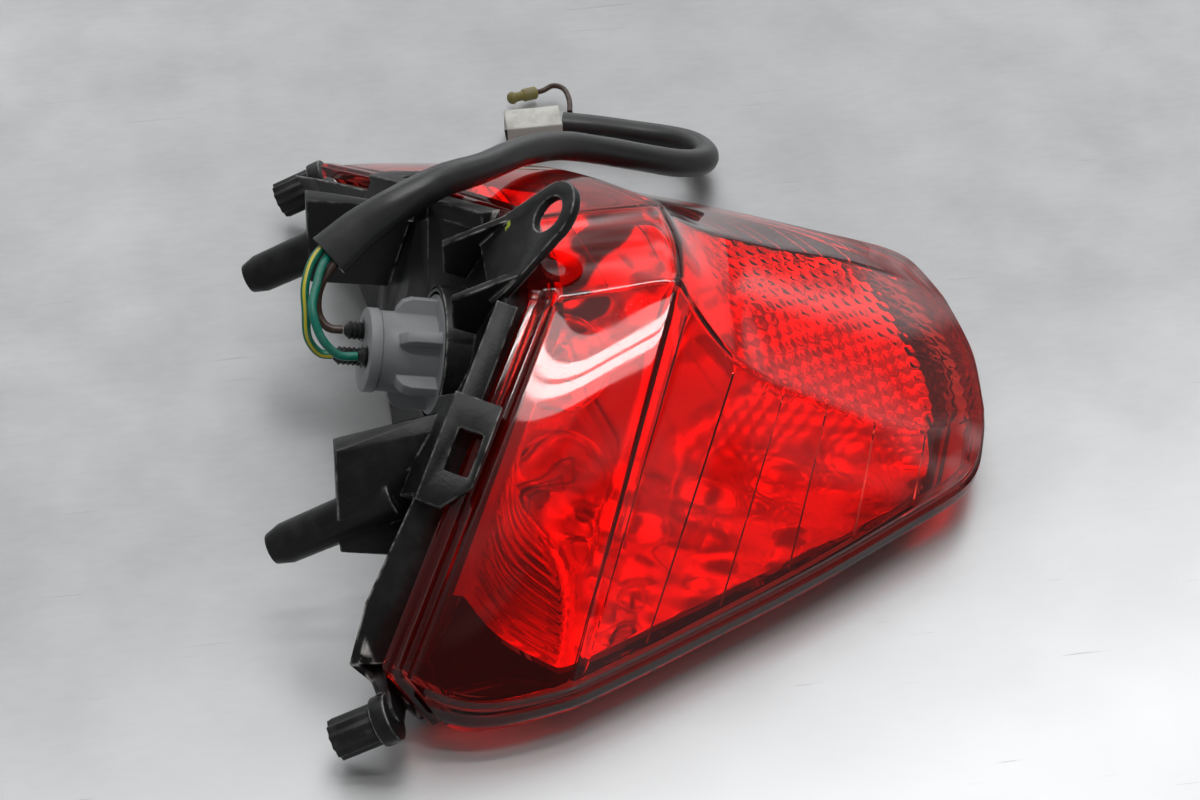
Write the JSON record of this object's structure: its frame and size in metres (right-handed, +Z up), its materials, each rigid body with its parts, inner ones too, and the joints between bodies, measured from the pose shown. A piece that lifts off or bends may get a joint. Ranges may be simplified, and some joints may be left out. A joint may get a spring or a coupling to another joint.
{
  "type": "motorcycle tail light",
  "caption": "Motorcycle tail light: red lens on a black housing with bolt tab and mounting pins, twist-lock bulb socket and a sleeved lead with plug.",
  "frame": {"origin": "on the flat belly of the housing, in the symmetry plane, under the middle of the lens", "axes": "+X to the rear of the machine (the lens's nose), +Y to its right, +Z up"},
  "size_m": [0.1847, 0.2425, 0.0832],
  "materials": {
    "housing_black": "satin moulded, scuffed",
    "lens_red": "clear red, polished",
    "reflector_bright": "metallised mirror",
    "socket_grey": "satin moulded",
    "rubber_black": "matte",
    "contact_brass": "bright",
    "spring_steel": "bright wire",
    "bulb_clear": "clear",
    "contact_insulator": "pressed board",
    "wire_green": "soft sheen",
    "wire_green_yellow": "green with a yellow stripe",
    "wire_brown": "soft sheen",
    "sleeve_black": "satin soft sleeve",
    "plug_white": "milky",
    "terminal_olive": "dull olive"
  },
  "bodies": {
    "housing": {"housing": "housing_black", "lens": "lens_red", "lens_seal": "rubber_black", "reflector": "reflector_bright", "wire_ground": "wire_green", "wire_brake": "wire_green_yellow", "wire_tail": "wire_brown", "wire_sleeve": "sleeve_black", "plug_body": "plug_white", "plug_terminal_brake": "contact_brass", "plug_terminal_tail": "contact_brass", "earth_lead": "wire_brown", "bullet_terminal": "terminal_olive", "vent_cap_left": "rubber_black", "vent_cap_right": "rubber_black"},
    "socket": {"socket_body": "socket_grey", "socket_gasket": "rubber_black", "ground_shell": "contact_brass", "contact_spring": "spring_steel", "wire_seal_ground": "rubber_black", "wire_seal_brake": "rubber_black", "wire_seal_tail": "rubber_black"},
    "contacts": {"contact_carrier": "contact_insulator", "contact_brake": "contact_brass", "contact_tail": "contact_brass"},
    "bulb": {"bulb_cap": "contact_brass", "bulb_glass": "bulb_clear", "bulb_stem": "bulb_clear", "filament_brake": "spring_steel", "filament_tail": "spring_steel"}
  },
  "joints": [
    {"name": "socket_turn", "type": "hinge", "parent": "housing", "child": "socket", "pos_m": [-0.062, 0, 0.0386], "axis": [0.9703, 0, -0.2419], "range_deg": [0, 45]},
    {"name": "bulb_press", "type": "slide", "parent": "socket", "child": "bulb", "axis": [-0.9703, 0, 0.2419], "range_m": [0, 0.002], "stiffness_N_per_m": 4000},
    {"name": "contact_press", "type": "slide", "parent": "socket", "child": "contacts", "axis": [-0.9703, 0, 0.2419], "range_m": [0, 0.002], "deforming": ["contact_spring"]}
  ],
  "couplings": [
    {"joint": "contact_press", "follows": "bulb_press", "ratio": 1}
  ]
}
